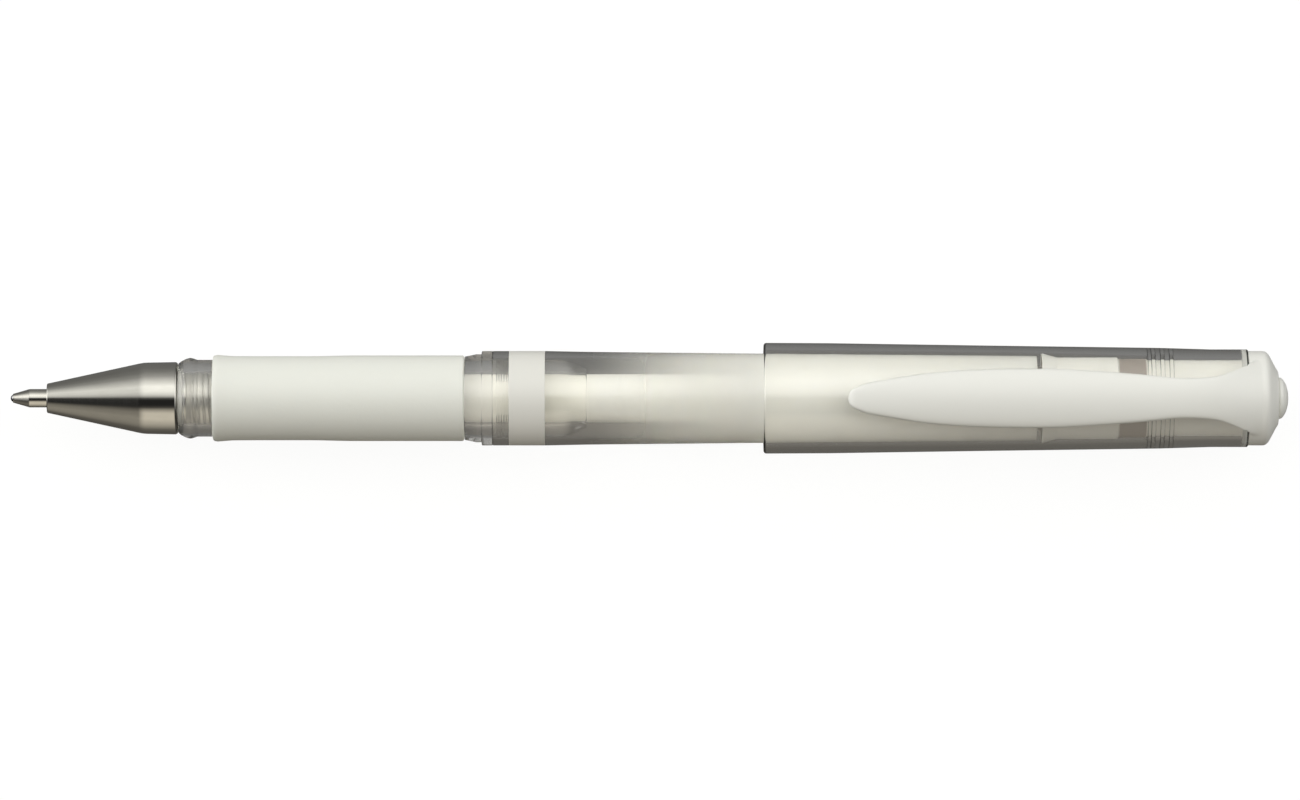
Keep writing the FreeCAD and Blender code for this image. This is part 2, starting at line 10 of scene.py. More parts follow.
import bmesh
import bpy
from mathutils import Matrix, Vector


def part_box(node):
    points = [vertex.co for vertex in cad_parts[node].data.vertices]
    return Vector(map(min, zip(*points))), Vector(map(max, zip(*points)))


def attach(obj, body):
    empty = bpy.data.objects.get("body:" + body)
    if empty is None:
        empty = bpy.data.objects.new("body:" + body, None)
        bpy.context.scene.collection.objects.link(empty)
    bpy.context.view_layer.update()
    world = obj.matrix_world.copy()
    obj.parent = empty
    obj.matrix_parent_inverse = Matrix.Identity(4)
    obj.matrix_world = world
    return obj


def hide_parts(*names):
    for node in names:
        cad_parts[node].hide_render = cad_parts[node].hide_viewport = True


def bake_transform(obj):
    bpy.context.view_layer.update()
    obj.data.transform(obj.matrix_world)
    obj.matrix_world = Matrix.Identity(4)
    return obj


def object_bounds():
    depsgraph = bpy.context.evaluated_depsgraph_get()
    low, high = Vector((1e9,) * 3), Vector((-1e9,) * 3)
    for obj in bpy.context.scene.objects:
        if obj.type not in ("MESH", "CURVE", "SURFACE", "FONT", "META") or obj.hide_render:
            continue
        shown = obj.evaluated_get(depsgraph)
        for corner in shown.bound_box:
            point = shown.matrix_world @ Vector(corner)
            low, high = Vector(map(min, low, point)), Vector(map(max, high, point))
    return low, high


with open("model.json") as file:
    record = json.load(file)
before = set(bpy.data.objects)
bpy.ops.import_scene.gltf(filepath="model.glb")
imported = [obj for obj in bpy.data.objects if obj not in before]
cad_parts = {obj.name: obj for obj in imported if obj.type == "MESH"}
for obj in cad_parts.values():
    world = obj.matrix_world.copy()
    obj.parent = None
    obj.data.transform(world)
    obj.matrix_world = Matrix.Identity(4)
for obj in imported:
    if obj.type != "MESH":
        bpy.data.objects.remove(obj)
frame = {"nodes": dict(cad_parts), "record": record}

CAD_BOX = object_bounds()
MM = 0.001
AROUND = 160  # faces round a turned piece
ARC_STEP = math.radians(12)  # largest turn between two points of a rounded corner
STRAIGHT = math.radians(0.5)  # an outline that turns less than this has no corner
SIDE_SHARE = 0.49  # the most of each side that a corner's rounding takes up
SHARP = 1e-5  # a rounding that takes up less of a side than this is left out
CORNER_RADIUS = 0.05  # where an outline's corner gives none
ON_AXIS = 1e-6  # a point with a smaller radius is on the pen's axis
BODIES = {n: b for b, names in frame["record"]["behaviour"]["bodies"].items() for n in names}

scene = bpy.context.scene


# Outlines and turned meshes


def corner_arc(before, corner, after, radius):
    """Points and normals of a corner rounded to radius, in the plane of an outline. It is
    one point if the outline runs straight on."""
    into = (corner - before).normalized()
    out = (after - corner).normalized()
    turn = into.angle_signed(out)
    cut = min(
        radius * math.tan(abs(turn) / 2),
        SIDE_SHARE * (corner - before).length,
        SIDE_SHARE * (after - corner).length,
    )
    if abs(turn) < STRAIGHT or cut < SHARP:
        side = (into + out).normalized()
        return [(corner, Vector((-side.y, side.x)))]
    radius = cut / math.tan(abs(turn) / 2)
    side = 1 if turn < 0 else -1
    centre = corner - into * cut + Vector((-into.y, into.x)) * radius * side
    steps = max(2, math.ceil(abs(turn) / ARC_STEP))
    spoke = (corner - into * cut) - centre
    points = []
    for i in range(steps + 1):
        angle = abs(turn) * i / steps * side
        turned = Vector((
            spoke.x * math.cos(angle) - spoke.y * math.sin(angle),
            spoke.x * math.sin(angle) + spoke.y * math.cos(angle),
        ))
        points.append((centre + turned, turned.normalized() * -side))
    return points


def rounded(corners, closed):
    """An outline's points and normals, from its corners of (along, radius, corner radius).
    An open outline starts and ends on the axis."""
    spots = [Vector((c[0], c[1])) for c in corners]
    points = []
    for i, corner in enumerate(corners):
        if not closed and i in (0, len(corners) - 1):
            points.append((spots[i], Vector((-1 if i == 0 else 1, 0))))
            continue
        radius = corner[2] if len(corner) > 2 else CORNER_RADIUS
        points += corner_arc(spots[i - 1], spots[i], spots[(i + 1) % len(spots)], radius)
    return points


def turned(name, front, corners, closed=True, relief=None, around=AROUND):
    """A mesh turned about the pen's axis. front is in metres, and the corners run from the
    front end over the outside to the rear end, and back inside where the piece is hollow.
    relief(along, angle, radius) gives a radius in place of the outline's."""
    outline = rounded(corners, closed)
    mesh = bmesh.new()
    rings = []
    for spot, _ in outline:
        along = front + spot.x * MM
        if spot.y < ON_AXIS:
            rings.append([mesh.verts.new((along, 0, 0))])
            continue
        ring = []
        for k in range(around):
            angle = 2 * math.pi * k / around
            radius = relief(spot.x, angle, spot.y) if relief else spot.y
            y, z = radius * MM * math.cos(angle), radius * MM * math.sin(angle)
            ring.append(mesh.verts.new((along, y, z)))
        rings.append(ring)
    pairs = list(zip(rings, rings[1:] + rings[:1])) if closed else list(zip(rings, rings[1:]))
    for first, last in pairs:
        for k in range(around):
            after = (k + 1) % around
            corners_of = [first[k % len(first)], first[after % len(first)],
                          last[after % len(last)], last[k % len(last)]]
            face = list(dict.fromkeys(corners_of))
            if len(face) > 2:
                mesh.faces.new(face)
    bmesh.ops.recalc_face_normals(mesh, faces=mesh.faces)
    return finished(name, mesh, outline if relief is None else None, around)


def finished(name, mesh, outline=None, around=AROUND):
    """A shaded object from a bmesh. With an outline, its normals follow the outline's."""
    data = bpy.data.meshes.new(name)
    mesh.to_mesh(data)
    mesh.free()
    data.shade_smooth()
    if outline:
        normals = []
        for spot, normal in outline:
            if spot.y < ON_AXIS:
                normals.append((normal.x, 0, 0))
                continue
            for k in range(around):
                angle = 2 * math.pi * k / around
                normals.append((normal.x, normal.y * math.cos(angle), normal.y * math.sin(angle)))
        data.normals_split_custom_set_from_vertices(normals)
    piece = bpy.data.objects.new(name, data)
    scene.collection.objects.link(piece)
    return piece


def stand_for(piece, node, material):
    """piece replaces a CAD node, moves with its body and gets the given material."""
    piece.data.materials.append(material)
    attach(piece, BODIES[node])
    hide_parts(node)
    return piece


def front_of(node):
    """Where a CAD node starts along the pen, in metres."""
    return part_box(node)[0].x


def length_of(node):
    """A CAD node's length along the pen, in millimetres."""
    low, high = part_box(node)
    return (high.x - low.x) / MM


# Materials


SCATTER = (1.0, 0.95, 0.85)  # how far red, green and blue spread inside white plastic
MOTTLING = (260, 700, 700)  # features a metre along X, Y and Z
FAINTLY = 0.985  # the darker colour of a mottled clear or coated piece, against the lighter


def srgb(*channels):
    """A linear colour from 8-bit sRGB numbers."""
    linear = [c / 255 for c in channels]
    return [c / 12.92 if c <= 0.04045 else ((c + 0.055) / 1.055) ** 2.4 for c in linear]


class Surface:
    """A material with a Principled shader and the node calls that the finishes share."""

    def __init__(self, name, **sockets):
        self.material = bpy.data.materials.new(name)
        self.material.use_nodes = True
        self.tree = self.material.node_tree
        self.shader = self.tree.nodes["Principled BSDF"]
        self.output = self.tree.nodes["Material Output"]
        self.place = self.tree.nodes.new("ShaderNodeTexCoord").outputs["Object"]
        for socket, value in sockets.items():
            self.shader.inputs[socket.replace("_", " ")].default_value = value

    def node(self, kind, **inputs):
        """A new shader node, with the inputs that are given."""
        made = self.tree.nodes.new("ShaderNode" + kind)
        for socket, value in inputs.items():
            self.feed(made.inputs[socket.replace("_", " ")], value)
        return made

    def feed(self, socket, value):
        """Links a socket to another, or sets it to a value."""
        if isinstance(value, bpy.types.NodeSocket):
            self.tree.links.new(value, socket)
        else:
            socket.default_value = value

    def grain(self, scale, detail=3.0, roughness=0.5):
        """Noise with its features stretched by scale, in features a metre along X, Y, Z."""
        stretch = self.node("VectorMath")
        stretch.operation = "MULTIPLY"
        self.feed(stretch.inputs[0], self.place)
        stretch.inputs[1].default_value = scale
        noise = self.node("TexNoise", Vector=stretch.outputs[0], Scale=1.0, Detail=detail,
                          Roughness=roughness)
        return noise.outputs["Fac"]

    def along(self):
        """The distance along the pen, in metres."""
        return self.node("SeparateXYZ", Vector=self.place).outputs["X"]

    def ranged(self, value, low, high, to_low=0.0, to_high=1.0):
        """A map range node, which takes low and high to to_low and to_high."""
        return self.node("MapRange", Value=value, From_Min=low, From_Max=high,
                         To_Min=to_low, To_Max=to_high)

    def between(self, fac, low, high, socket):
        """Drives one of the shader's number sockets between two values."""
        self.feed(self.shader.inputs[socket], self.ranged(fac, 0.1, 0.9, low, high).outputs[0])

    def mixed(self, fac, first, second):
        """A mix of two colours. Each may be a socket."""
        mix = self.tree.nodes.new("ShaderNodeMix")
        mix.data_type = "RGBA"
        self.feed(mix.inputs["Factor"], fac)
        for name, colour in (("A", first), ("B", second)):
            is_socket = isinstance(colour, bpy.types.NodeSocket)
            self.feed(mix.inputs[name], colour if is_socket else (*colour, 1))
        return mix.outputs["Result"]

    def colours(self, fac, first, second):
        """Drives the shader's colour between two colours."""
        self.feed(self.shader.inputs["Base Color"], self.mixed(fac, first, second))

    def bump(self, fac, height, strength=1.0):
        """Raises the surface by up to height, in metres."""
        bump = self.node("Bump", Height=fac, Strength=strength, Distance=height)
        self.feed(self.shader.inputs["Normal"], bump.outputs["Normal"])

    def let_lamps_through(self, tint):
        """Shadow rays pass, so that what lies inside the clear plastic is lit."""
        path = self.node("LightPath")
        clear = self.node("BsdfTransparent", Color=(*tint, 1))
        mix = self.node("MixShader")
        self.feed(mix.inputs["Fac"], path.outputs["Is Shadow Ray"])
        self.feed(mix.inputs[1], self.output.inputs["Surface"].links[0].from_socket)
        self.feed(mix.inputs[2], clear.outputs[0])
        self.feed(self.output.inputs["Surface"], mix.outputs[0])


def moulded(name, colour, shade, rough=0.32, soft=0.0, depth=0.0008, skin=0.000004):
    """Moulded plastic or rubber: faint mottling, a fine skin and a little light inside."""
    s = Surface(name, IOR=1.5)
    s.colours(s.grain(MOTTLING), colour, [c * shade for c in colour])
    s.between(s.grain((900, 900, 900), detail=5.0), rough - 0.05, rough + 0.07, "Roughness")
    s.bump(s.grain((2600, 2600, 2600), detail=4.0), skin)
    s.shader.inputs["Subsurface Weight"].default_value = soft
    s.shader.inputs["Subsurface Radius"].default_value = SCATTER
    s.shader.inputs["Subsurface Scale"].default_value = depth
    return s


def paint_seen_through_shade(surface, start, end, colour):
    """Paints shade on a moulding between two distances along the pen, where its wall is thin: a
    darker band that stands in for the shaded space inside showing through."""
    rise, fall = 0.25 * MM, 0.15 * MM
    along = surface.along()
    both = surface.node("Math")
    both.operation = "MULTIPLY"
    surface.feed(both.inputs[0], surface.ranged(along, start, start + rise).outputs[0])
    surface.feed(both.inputs[1], surface.ranged(along, end, end - fall).outputs[0])
    # painted shade: the moulding's colour darkens to colour inside the band
    base = surface.shader.inputs["Base Color"]
    surface.feed(base, surface.mixed(both.outputs[0], base.links[0].from_socket, colour))


def metal(name, colour, dark, rough, turning):
    """Turned and plated metal: tool marks are rings about the axis."""
    s = Surface(name, Metallic=1.0)
    s.colours(s.grain((500, 1400, 1400), detail=4.0), colour, dark)
    marks = s.grain((turning, 0, 0), detail=6.0, roughness=0.7)
    s.between(marks, rough * 0.7, rough * 1.4, "Roughness")
    s.bump(marks, 0.0000025)
    return s


def clear(name, colour, rough=0.015, ior=1.5, haze=0.0):
    """Clear moulded plastic with faint flow marks. haze is the milky share of it."""
    s = Surface(name, Transmission_Weight=1.0 - haze, IOR=ior)
    s.colours(s.grain((120, 500, 500)), colour, [c * FAINTLY for c in colour])
    s.between(s.grain((300, 300, 300), detail=5.0), rough, rough * 2.5, "Roughness")
    s.bump(s.grain((150, 420, 420), detail=2.0), 0.000006)
    return s


def coated_clear(name, colour, coat, fade_start, fade_end):
    """Clear plastic whose white coat thickens from fade_start to fade_end along the pen."""
    full = 0.92  # the coat's share of the surface past fade_end
    s = clear(name, colour)
    white = s.node("BsdfPrincipled", Roughness=0.2, IOR=1.55)
    white.inputs["Subsurface Weight"].default_value = 0.55
    white.inputs["Subsurface Radius"].default_value = SCATTER
    white.inputs["Subsurface Scale"].default_value = 0.003
    mottled = s.mixed(s.grain(MOTTLING), coat, [c * FAINTLY for c in coat])
    s.feed(white.inputs["Base Color"], mottled)
    fade = s.ranged(s.along(), fade_start, fade_end, to_high=full)
    fade.interpolation_type = "SMOOTHSTEP"
    mix = s.node("MixShader")
    s.feed(mix.inputs["Fac"], fade.outputs[0])
    s.feed(mix.inputs[1], s.shader.outputs[0])
    s.feed(mix.inputs[2], white.outputs[0])
    s.feed(s.output.inputs["Surface"], mix.outputs[0])
    return s


WARM_WHITE = srgb(238, 238, 232)
CLEAR_TINT = (0.997, 0.994, 0.979)
LAMP_TINT = (1.0, 1.0, 0.985)  # of light from outside on what clear plastic holds
CORE_TINT = (1.18, 1.17, 1.13)  # over 1: lifts what lies in the clear section

carbide = metal("carbide_ball", srgb(150, 150, 152), srgb(130, 130, 133), 0.12, 9000)
point_steel = metal("point_steel", srgb(214, 211, 203), srgb(190, 187, 178), 0.12, 16000)
nose_metal = metal("nose_metal", srgb(205, 203, 196), srgb(194, 192, 184), 0.075, 12000)
thread_metal = metal("thread_metal", srgb(212, 210, 203), srgb(180, 178, 170), 0.33, 12000)
valve_steel = metal("valve_steel", srgb(200, 200, 200), srgb(185, 185, 185), 0.1, 9000)
seal_rubber = moulded("seal_rubber", srgb(196, 195, 188), 0.94, rough=0.5)
pad_rubber = moulded("pad_rubber", srgb(222, 221, 214), 0.96, rough=0.55)
grip_rubber = moulded("grip_rubber", srgb(236, 237, 229), 0.98, rough=0.5, soft=0.1, skin=0.000012)
band_white = moulded("band_white", srgb(230, 229, 222), 0.985, rough=0.35)
crown_white = moulded("crown_white", WARM_WHITE, 0.985, rough=0.3)
liner_white = moulded("liner_white", srgb(236, 235, 228), 0.98, rough=0.4, soft=0.25)
tail_white = moulded("tail_white", srgb(196, 192, 186), 0.97, rough=0.35)
holder_white = moulded("holder_white", srgb(250, 249, 242), 0.98, rough=0.4)
tube_white = moulded("tube_white", srgb(241, 240, 233), 0.985, rough=0.3, soft=0.2)
ink_white = moulded("ink_white", srgb(240, 239, 234), 0.97, rough=0.2)
grease = moulded("follower_grease", srgb(226, 222, 200), 0.95, rough=0.15, soft=0.3)
section_clear = clear("section_clear", CLEAR_TINT, haze=0.06)
section_clear.let_lamps_through(CORE_TINT)
cap_clear = clear("cap_clear", CLEAR_TINT, ior=1.57)
cap_clear.let_lamps_through(LAMP_TINT)


# The writing end


def make_refill():
    """The writing ball, the metal point and the ink tube."""
    ball_radius, ball_steps = 0.5, 16
    ball = turned("writing_ball", front_of("tip_ball"), [
        (ball_radius - ball_radius * math.cos(math.pi * i / ball_steps),
         ball_radius * math.sin(math.pi * i / ball_steps))
        for i in range(ball_steps + 1)
    ], closed=False, around=48)
    stand_for(ball, "tip_ball", carbide.material)
    length = length_of("point_socket")
    point = turned("metal_point", front_of("point_socket"), [
        (0.0, 0.475, 0.01), (0.0, 0.56, 0.04), (0.16, 0.6, 0.1), (2.07, 1.15, 0.5),
        (4.4, 1.15, 0.05), (4.5, 1.12, 0.05), (4.62, 1.12, 0.05), (4.72, 1.15, 0.05),
        (length, 1.15, 0.05), (length, 0.75, 0.05), (2.35, 0.75, 0.1), (1.9, 0.3, 0.05),
        (0.72, 0.3, 0.02), (0.72, 0.515, 0.02), (0.12, 0.515, 0.03),
    ], around=96)
    stand_for(point, "point_socket", point_steel.material)
    length = length_of("ink_tube")
    tube = turned("refill_tube", front_of("ink_tube"), [
        (0.0, 2.5, 0.08), (0.0, 3.0, 0.12), (length, 3.0, 0.12), (length, 2.5, 0.08),
    ])
    stand_for(tube, "ink_tube", tube_white.material)


def make_nose():
    """A plated cone, and the helical thread on its shank."""
    shank, threaded = 16.39, 17.39  # where the shank and its threaded part start
    pitch, rows_a_turn, row_count = 0.75, 10, 105
    root_radius, core_radius, crest_height = 2.9, 3.02, 0.26
    steepness = 2.2  # over 1, so that the crests are flat
    run_out = 0.4
    cone = turned("nose_cone_shell", front_of("nose_cone"), [
        (0.0, 1.25, 0.06), (0.0, 1.825, 0.14), (12.05, 4.45, 5.0), (shank, 4.53, 0.38),
        (shank, 2.75, 0.05), (threaded, 2.75, 0.05), (threaded, 3.05, 0.05),
        (25.9, 3.05, 0.2), (25.99, 2.15, 0.05), (3.15, 2.15, 0.3), (1.25, 1.25, 0.3),
    ])
    stand_for(cone, "nose_cone", nose_metal.material)
    rows = [threaded + 0.2 + i * pitch / rows_a_turn for i in range(row_count)]

    def crest(along, angle, _):
        turn = (along / pitch - angle / (2 * math.pi)) % 1
        height = min(1, steepness * (1 - abs(2 * turn - 1)))
        fade = min(1, (along - rows[0]) / run_out, (rows[-1] - along) / run_out)
        return core_radius + crest_height * height * max(0, fade)

    outline = [(rows[0], root_radius, 0.001)] + [(x, core_radius, 0.001) for x in rows]
    outline += [(rows[-1], root_radius, 0.001)]
    thread = turned("nose_thread", front_of("nose_cone"), outline, relief=crest)
    thread.data.materials.append(thread_metal.material)
    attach(thread, BODIES["nose_cone"])


def make_front_section():
    """The clear core: collar with its sealing rib, rear flange, ribbed spigot."""
    length = length_of("front_section")
    first_rib, rib_pitch, rib_count = 39.75, 0.42, 4
    ribs = []
    for i in range(rib_count):
        start = first_rib + i * rib_pitch
        ribs += [(start, 4.82, 0.04), (start + 0.1, 5.04, 0.05),
                 (start + 0.2, 5.04, 0.05), (start + 0.3, 4.82, 0.04)]
    section = turned("clear_section", front_of("front_section"), [
        (0.0, 3.75, 0.05), (0.0, 4.35, 0.2), (0.35, 4.62, 0.3), (0.95, 4.93, 0.6),
        (1.5, 5.06, 0.6), (2.0, 4.93, 0.5), (2.35, 4.8, 0.4), (4.26, 4.8, 0.1), (4.26, 4.2, 0.05),
        (35.76, 4.2, 0.05), (35.76, 5.2, 0.15), (37.2, 5.5, 0.3), (37.9, 5.5, 0.08),
        (37.9, 5.9, 0.14), (39.26, 5.9, 0.1), (39.26, 4.85, 0.05),
    ] + ribs + [
        (41.6, 4.82, 0.05), (length - 2.6, 4.82, 4.0), (length, 3.7, 0.3), (length, 3.35, 0.1),
        (9.6, 3.35, 0.1), (1.0, 3.35, 0.05), (1.0, 3.75, 0.05),
    ])
    stand_for(section, "front_section", section_clear.material)


def make_grip():
    """The soft sleeve, slightly waisted, with a fuller front edge."""
    length = length_of("grip_sleeve")
    grip = turned("soft_grip", front_of("grip_sleeve"), [
        (0.0, 4.2, 0.05), (0.0, 5.3, 0.3), (0.55, 5.42, 0.8), (2.4, 5.27, 4.0),
        (5.5, 5.25, 30.0), (12.7, 5.25, 60.0), (17.0, 5.35, 60.0), (length, 5.35, 0.28),
        (length, 4.2, 0.05),
    ])
    stand_for(grip, "grip_sleeve", grip_rubber.material)


# The barrel


def make_barrel():
    """The barrel with the recess for its band, the band, and the tail plug."""
    length = length_of("barrel_tube")
    band_start = (front_of("barrel_band") - front_of("barrel_tube")) / MM
    band_end = band_start + length_of("barrel_band")
    barrel = turned("barrel", front_of("barrel_tube"), [
        (0.0, 5.1, 0.08), (0.0, 5.9, 0.14), (band_start, 5.9, 0.03), (band_start, 5.65, 0.02),
        (band_end, 5.65, 0.02), (band_end, 5.9, 0.03), (6.75, 5.9, 1.0), (11.75, 5.8, 30.0),
        (33.8, 5.575, 60.0), (length, 5.29, 0.12), (length, 4.3, 0.05), (58.3, 4.3, 0.1),
        (57.3, 4.75, 0.4), (11.5, 5.1, 60.0),
    ])
    clear_length, fade_length = 10.5 * MM, 31.0 * MM
    fade_start = front_of("barrel_tube") + clear_length
    fade_end = fade_start + fade_length
    coated = coated_clear("barrel_plastic", CLEAR_TINT, srgb(237, 236, 228), fade_start, fade_end)
    coated.let_lamps_through(LAMP_TINT)
    stand_for(barrel, "barrel_tube", coated.material)
    band = turned("white_band", front_of("barrel_band"), [
        (0.0, 5.65, 0.02), (0.0, 5.9, 0.04), (4.5, 5.9, 0.04), (4.5, 5.65, 0.02),
    ])
    stand_for(band, "barrel_band", band_white.material)
    length = length_of("tail_plug")
    tail = turned("tail", front_of("tail_plug"), [
        (0.0, 3.1, 0.1), (0.0, 4.3, 0.15), (9.2, 4.3, 0.05), (9.2, 4.0, 0.05),
        (length, 4.0, 0.6), (length, 0.6, 0.15), (22.5, 0.6, 0.05), (22.5, 3.1, 0.2),
    ])
    stand_for(tail, "tail_plug", tail_white.material)


# The cap


def make_cap():
    """The shell with three grooves in its thick rear wall, the liner with three low ribs, and
    the end button."""
    ring_count, ring_pitch = 3, 1.12
    last_groove, groove_width, groove_radius, rear_bore = 51.1, 0.52, 5.5, 4.87
    first_rib, rib_width, rib_radius, liner_radius = 13.75, 0.4, 4.84, 4.75
    length = length_of("cap_shell")
    grooves = []
    for i in range(ring_count):
        end = last_groove - i * ring_pitch
        start = end - groove_width
        grooves += [(end, rear_bore, 0.03), (end, groove_radius, 0.05),
                    (start, groove_radius, 0.05), (start, rear_bore, 0.03)]
    shell = turned("cap_shell_clear", front_of("cap_shell"), [
        (0.0, 6.1, 0.2), (0.0, 6.92, 0.34), (8.3, 6.88, 60.0), (26.9, 6.6, 200.0),
        (49.6, 6.29, 100.0), (55.9, 6.1, 20.0), (60.4, 6.1, 0.06), (length, 6.0, 0.02),
        (59.73, rear_bore, 0.03),
    ] + grooves + [
        (47.9, rear_bore, 0.05), (47.9, 5.35, 0.05), (34.9, 5.7, 100.0),
    ])
    stand_for(shell, "cap_shell", cap_clear.material)
    ribs = []
    for i in range(ring_count):
        start = first_rib + i * ring_pitch
        end = start + rib_width
        ribs += [(start, liner_radius, 0.02), (start, rib_radius, 0.02),
                 (end, rib_radius, 0.02), (end, liner_radius, 0.02)]
    length = length_of("inner_cap")
    mouth = front_of("inner_cap")
    thin_start, thin_end = 9.5, 13.1
    # painted shade: a grey band on the liner for the shaded gap inside, seen through its thin wall
    paint_seen_through_shade(liner_white, mouth + thin_start * MM, mouth + thin_end * MM, srgb(158, 149, 141))
    liner = turned("cap_liner", mouth, [
        (0.0, 5.2, 0.08), (0.0, 5.65, 0.1), (1.9, 5.1, 0.8), (thin_start, 5.1, 0.1),
        (thin_start, 4.92, 0.05), (thin_end, 4.92, 0.1), (thin_end, liner_radius, 0.05),
    ] + ribs + [
        (length, liner_radius, 0.2), (length, 0.02, 0.01), (25.8, 0.02, 0.01), (25.8, 2.6, 0.1),
        (23.5, 2.6, 0.3), (20.7, 4.07, 0.5), (11.2, 4.07, 1.0), (8.7, 4.65, 1.0),
        (3.1, 4.65, 1.0),
    ])
    stand_for(liner, "inner_cap", liner_white.material)
    length = length_of("end_plug")
    button = turned("end_button", front_of("end_plug"), [
        (0.0, 0.0), (0.0, 1.5, 0.2), (2.75, 1.5, 0.05), (2.75, 2.7, 0.25),
        (3.3, 2.45, 0.8), (3.75, 1.7, 1.4), (3.98, 0.85, 1.6), (length, 0.0),
    ], closed=False)
    stand_for(button, "end_plug", crown_white.material)


# The crown and the clip: one moulding


CLIP_PLAN = [  # distance from the clip's free end, half width
    (0.0, 0.05), (0.15, 0.62), (0.5, 1.05), (1.2, 1.45), (2.4, 1.9), (4.4, 2.28), (6.3, 2.6),
    (9.4, 3.08), (13.2, 3.42), (17.8, 3.62), (22.9, 3.69), (26.7, 3.64), (30.4, 3.42),
    (34.2, 3.16), (37.9, 2.84), (40.5, 2.56), (42.3, 2.5), (45.3, 2.66), (47.0, 3.05),
    (48.8, 3.8), (50.3, 4.5), (51.6, 4.9), (52.4, 4.7),
]


def curve_through(points, at):
    """The value at a distance of a smooth curve through points of (distance, value)."""
    if at <= points[0][0]:
        return points[0][1]
    for i in range(len(points) - 1):
        (x1, y1), (x2, y2) = points[i], points[i + 1]
        if at > x2:
            continue
        x0, y0 = points[max(i - 1, 0)]
        x3, y3 = points[min(i + 2, len(points) - 1)]
        slope1 = (y2 - y0) / (x2 - x0)
        slope2 = (y3 - y1) / (x3 - x1)
        t, span = (at - x1) / (x2 - x1), x2 - x1
        return ((2 * t**3 - 3 * t**2 + 1) * y1 + (t**3 - 2 * t**2 + t) * span * slope1
                + (3 * t**2 - 2 * t**3) * y2 + (t**3 - t**2) * span * slope2)
    return points[-1][1]


CLIP_TOP = [  # distance from the free end, height of the crest over the pen's axis
    (0.0, 7.75), (0.3, 8.0), (1.0, 8.25), (2.6, 8.4), (8.3, 8.6), (22.9, 8.72), (36.0, 8.62),
    (42.3, 8.47), (46.0, 8.0), (48.5, 7.2), (50.4, 6.35), (51.8, 5.85), (52.6, 5.5),
]
CLIP_LOW = [  # the same for the underside
    (0.0, 7.6), (0.3, 7.35), (1.0, 7.15), (2.6, 6.97), (4.6, 6.97), (6.3, 7.2), (22.9, 7.32),
    (42.3, 7.12), (47.0, 6.92), (49.0, 6.6), (50.2, 6.25), (50.9, 4.4), (52.6, 4.2),
]


CLIP_ARCH = [  # the same for the section's arch over the cap, as a share of a round arch
    (0.0, 0.5), (2.0, 1.0), (42.0, 1.0), (48.0, 1.2), (52.6, 1.35),
]
CLIP_STATIONS = [0.0, 0.08, 0.2, 0.4, 0.7, 1.1] + [1.6 + i * 0.6 for i in range(85)] + [52.5]


def make_crown_and_clip():
    """The clip is lofted along its length and joined to the turned crown, then remeshed so
    that the root flows into the crown."""
    start = front_of("clip_arm")
    arch_radius, across = 7.6, 96
    side_power, edge_power = 5.7, 0.225  # a section flat on top, with rounded edges
    mesh = bmesh.new()
    rings = []
    for at in CLIP_STATIONS:
        half = curve_through(CLIP_PLAN, at)
        top, low = curve_through(CLIP_TOP, at), curve_through(CLIP_LOW, at)
        ring = []
        for k in range(across):
            angle = 2 * math.pi * k / across
            c, s = math.cos(angle), math.sin(angle)
            y = half * c
            bulge = (1 - abs(c) ** side_power) ** edge_power
            rise = (top - low) / 2 * math.copysign(bulge, s)
            drop = arch_radius - math.sqrt(arch_radius**2 - y**2)
            z = (top + low) / 2 + rise - drop * curve_through(CLIP_ARCH, at)
            ring.append(mesh.verts.new((start + at * MM, y * MM, z * MM)))
        rings.append(ring)
    for first, last in zip(rings, rings[1:]):
        for k in range(across):
            after = (k + 1) % across
            mesh.faces.new([first[k], first[after], last[after], last[k]])
    mesh.faces.new(list(reversed(rings[0])))
    mesh.faces.new(rings[-1])
    bmesh.ops.recalc_face_normals(mesh, faces=mesh.faces)
    clip = finished("clip_blank", mesh)
    crown_length = 4.55
    crown_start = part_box("crown")[1].x - crown_length * MM
    crown = turned("crown_and_clip", crown_start, [
        (0.78, 5.9, 0.15), (2.95, 5.9, 0.6), (3.4, 5.4, 0.7), (4.3, 3.7, 0.3),
        (crown_length, 3.38, 0.15), (crown_length, 1.5, 0.05), (1.6, 1.5, 0.05),
        (1.6, 4.78, 0.05), (0.78, 4.78, 0.05),
    ])
    seat = turned("crown_seat", crown_start, [
        (-0.06, 4.78, 0.01), (-0.06, 4.83, 0.02), (0.7, 5.92, 0.05), (1.3, 5.86, 0.05),
        (1.3, 4.78, 0.02),
    ])
    seat.data.materials.append(crown_white.material)
    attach(seat, "cap")
    joined = bmesh.new()
    for piece in (clip, crown):
        joined.from_mesh(piece.data)
    joined.to_mesh(crown.data)
    joined.free()
    bpy.data.objects.remove(clip)
    remesh = crown.modifiers.new("union", "REMESH")
    remesh.mode = "VOXEL"
    remesh.voxel_size = 0.12 * MM
    smooth = crown.modifiers.new("flow", "SMOOTH")
    smooth.factor, smooth.iterations = 0.5, 14
    bpy.context.view_layer.update()
    depsgraph = bpy.context.evaluated_depsgraph_get()
    union = bpy.data.meshes.new_from_object(crown.evaluated_get(depsgraph))
    union.shade_smooth()
    crown.modifiers.clear()
    crown.data = union
    crown.data.materials.clear()
    crown.data.materials.append(crown_white.material)
    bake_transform(crown)
    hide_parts("crown", "clip_arm")


# CAD nodes that keep their own shape


def finish_cad_nodes():
    for node, surface in {
        "point_holder": holder_white,
        "check_ball": valve_steel,
        "ink_charge": ink_white,
        "gel_follower": grease,
        "nose_seal": seal_rubber,
        "seal_pad": pad_rubber,
    }.items():
        piece = frame["nodes"][node]
        piece.data.shade_smooth()
        for slot in piece.material_slots:
            slot.material = surface.material


# Camera, lights and floor


